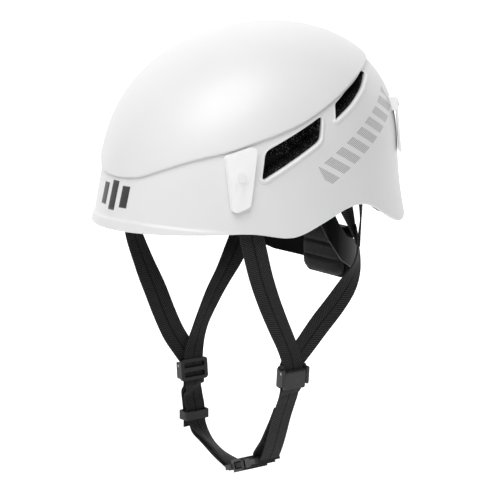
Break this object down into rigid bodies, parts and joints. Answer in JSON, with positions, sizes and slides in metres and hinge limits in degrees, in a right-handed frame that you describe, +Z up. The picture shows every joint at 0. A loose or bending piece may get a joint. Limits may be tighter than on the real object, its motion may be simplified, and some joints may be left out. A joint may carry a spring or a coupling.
{
  "type": "climbing helmet",
  "caption": "Hard-shell climbing helmet with foam liner, raised dome panel, side vents, headlamp clips, dial-fit nape cradle, webbing harness and side-release chin buckle.",
  "frame": {"origin": "middle of the head opening, level with the lowest point of the ear lobes of the rim, where the head sits in the helmet", "axes": "+Z up towards the crown, -Y towards the brow, +X towards the wearer's left"},
  "size_m": [0.2108, 0.2807, 0.3877],
  "materials": {
    "shell_white": "satin-gloss moulded",
    "liner_foam": "beaded foam",
    "clip_white": "satin moulded",
    "rivet_grey": "smooth moulded",
    "steel": "plain zinc",
    "pad_fabric": "brushed knit over foam",
    "webbing": "herringbone weave",
    "buckle_black": "fine moulded texture",
    "lever_gloss": "polished moulded",
    "cradle_black": "fine moulded texture",
    "keeper_rubber": "matt elastic"
  },
  "bodies": {
    "helmet": {"adjuster_frame_left": "buckle_black", "adjuster_frame_right": "buckle_black", "adjuster_pin_left": "steel", "adjuster_pin_right": "steel", "buckle_socket": "buckle_black", "chin_strap_right": "webbing", "crown_pad": "pad_fabric", "foam_liner": "liner_foam", "forehead_pad": "pad_fabric", "front_clip_left": "clip_white", "front_clip_right": "clip_white", "front_clip_rivets": "rivet_grey", "front_strap_left": "webbing", "front_strap_right": "webbing", "headband": "cradle_black", "headband_plugs": "cradle_black", "outer_shell": "shell_white", "rear_clip_left": "clip_white", "rear_clip_right": "clip_white", "rear_clip_rivets": "rivet_grey", "rear_strap_left": "webbing", "rear_strap_right": "webbing", "rear_yoke_left": "webbing", "rear_yoke_right": "webbing", "side_pad_left": "pad_fabric", "side_pad_right": "pad_fabric", "strap_anchor_plates": "steel", "strap_anchor_rivets": "steel", "strap_keeper": "keeper_rubber", "strap_tail": "webbing", "temple_bushes": "cradle_black"},
    "fit_cradle": {"nape_housing": "cradle_black", "nape_cover": "cradle_black", "nape_pad": "pad_fabric", "housing_screws": "steel"},
    "fit_dial": {"dial_knob": "cradle_black", "dial_pinion": "cradle_black", "dial_detent_spring": "steel", "dial_screw": "steel"},
    "cradle_left": {"cradle_arm_left": "cradle_black", "temple_stud_left": "cradle_black"},
    "cradle_right": {"cradle_arm_right": "cradle_black", "temple_stud_right": "cradle_black"},
    "lever_left": {"adjuster_lever_left": "lever_gloss"},
    "lever_right": {"adjuster_lever_right": "lever_gloss"},
    "buckle_plug": {"buckle_plug": "buckle_black", "chin_strap_left": "webbing"},
    "prong_front": {"buckle_prong_front": "buckle_black"},
    "prong_rear": {"buckle_prong_rear": "buckle_black"}
  },
  "joints": [
    {"name": "cradle_tilt", "type": "hinge", "parent": "helmet", "child": "fit_cradle", "pos_m": [0, 0.01, 0.03], "axis": [1, 0, 0], "range_deg": [-12, 8]},
    {"name": "dial_turn", "type": "hinge", "parent": "fit_cradle", "child": "fit_dial", "pos_m": [0, 0.08, -0.036], "axis": [0, 1, 0], "range_deg": [-40, 40]},
    {"name": "cradle_left_slide", "type": "slide", "parent": "fit_cradle", "child": "cradle_left", "axis": [1, 0, 0], "range_m": [-0.0042, 0.0042]},
    {"name": "cradle_right_slide", "type": "slide", "parent": "fit_cradle", "child": "cradle_right", "axis": [-1, 0, 0], "range_m": [-0.0042, 0.0042]},
    {"name": "lever_left_flip", "type": "hinge", "parent": "helmet", "child": "lever_left", "pos_m": [0.07574, -0.019, -0.11646], "axis": [0, -1, 0], "range_deg": [0, 100]},
    {"name": "lever_right_flip", "type": "hinge", "parent": "helmet", "child": "lever_right", "pos_m": [-0.07358, -0.019, -0.14046], "axis": [0, 1, 0], "range_deg": [0, 100]},
    {"name": "buckle_release", "type": "slide", "parent": "helmet", "child": "buckle_plug", "axis": [0.9321, 0, 0.3621], "range_m": [0, 0.014]},
    {"name": "prong_rear_squeeze", "type": "hinge", "parent": "buckle_plug", "child": "prong_rear", "pos_m": [0.01236, -0.0007, -0.20956], "axis": [-0.3621, 0, 0.9321], "range_deg": [0, 15]},
    {"name": "prong_front_squeeze", "type": "hinge", "parent": "buckle_plug", "child": "prong_front", "pos_m": [0.01236, -0.0173, -0.20956], "axis": [0.3621, 0, -0.9321], "range_deg": [0, 15]}
  ],
  "couplings": [
    {"joint": "cradle_left_slide", "follows": "dial_turn", "m_per_rad": 0.006},
    {"joint": "cradle_right_slide", "follows": "dial_turn", "m_per_rad": 0.006},
    {"joint": "prong_rear_squeeze", "follows": "buckle_release", "rad_per_m": 18},
    {"joint": "prong_front_squeeze", "follows": "buckle_release", "rad_per_m": 18}
  ]
}
